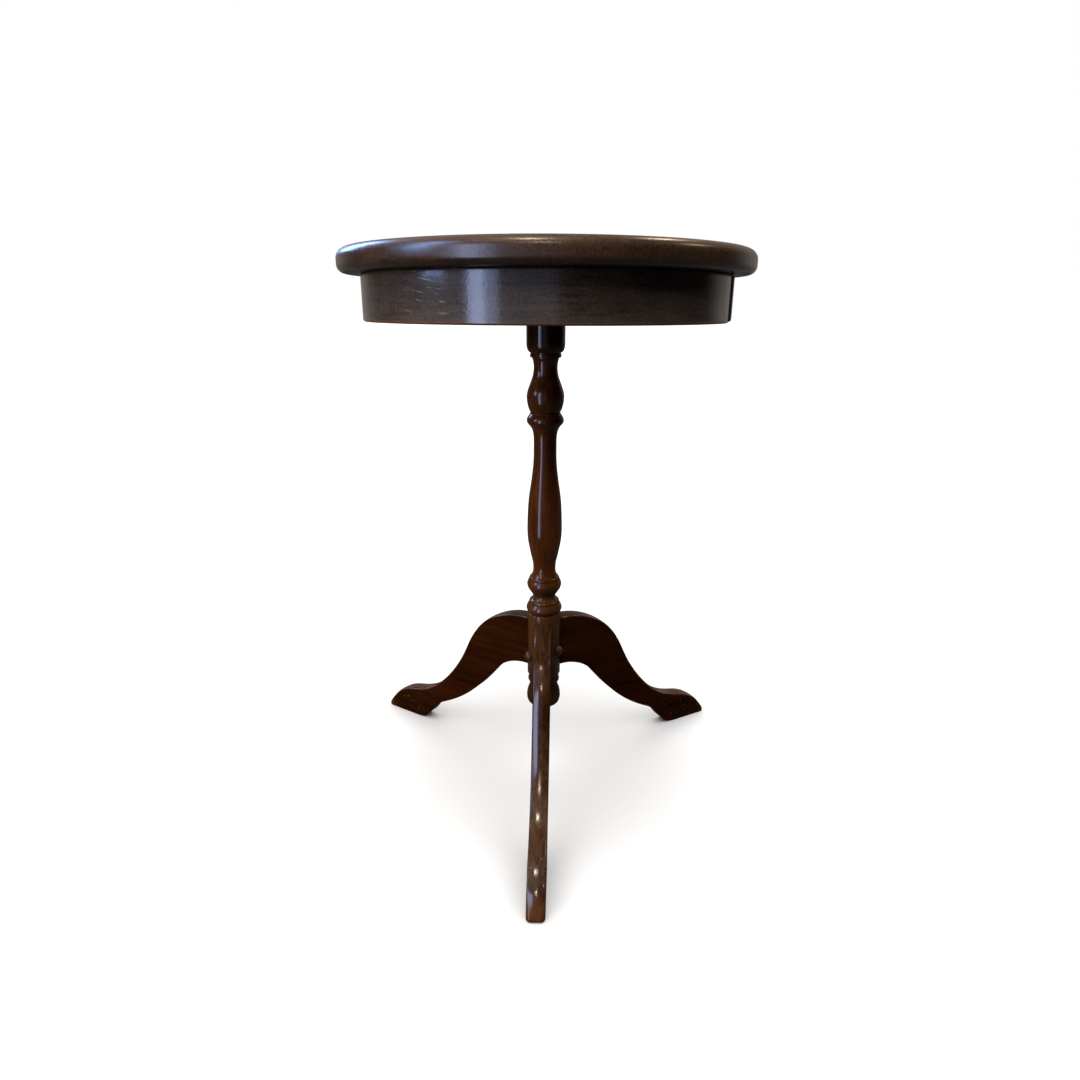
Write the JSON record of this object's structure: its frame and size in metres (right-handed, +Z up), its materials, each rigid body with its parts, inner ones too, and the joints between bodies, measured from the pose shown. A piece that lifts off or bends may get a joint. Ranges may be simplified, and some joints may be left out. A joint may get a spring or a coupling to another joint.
{
  "type": "pedestal side table",
  "caption": "Round pedestal side table with a drum apron holding a curved drawer, on a turned column and curved splayed legs, in dark lacquered wood.",
  "frame": {"origin": "on the floor under the column's axis", "axes": "+Z up; the drawer opens towards -Y over the front leg; +X to the right seen from the drawer's side"},
  "size_m": [0.4632, 0.472, 0.61],
  "materials": {
    "case_lacquer": "near-black brown lacquer, satin, fine grain showing",
    "column_lacquer": "dark red-brown lacquer, semi-gloss",
    "plain_wood": "bare or thinly stained wood, matt",
    "knob_brass": "aged brass, satin"
  },
  "bodies": {
    "table": {"table_top": "case_lacquer", "drum_band": "case_lacquer", "column": "column_lacquer", "leg_front": "column_lacquer", "leg_rear_right": "column_lacquer", "leg_rear_left": "column_lacquer", "bolt_caps": "column_lacquer", "drum_floor": "plain_wood", "rear_rail": "plain_wood", "guide_left": "plain_wood", "guide_right": "plain_wood", "band_block_left": "plain_wood", "band_block_right": "plain_wood"},
    "drawer": {"drawer_front": "case_lacquer", "drawer_side_left": "plain_wood", "drawer_side_right": "plain_wood", "drawer_back": "plain_wood", "drawer_bottom": "plain_wood", "front_block_left": "plain_wood", "front_block_right": "plain_wood", "drawer_knob": "knob_brass"}
  },
  "joints": [
    {"name": "drawer_slide", "type": "slide", "parent": "table", "child": "drawer", "axis": [0, -1, 0], "range_m": [0, 0.15]}
  ]
}
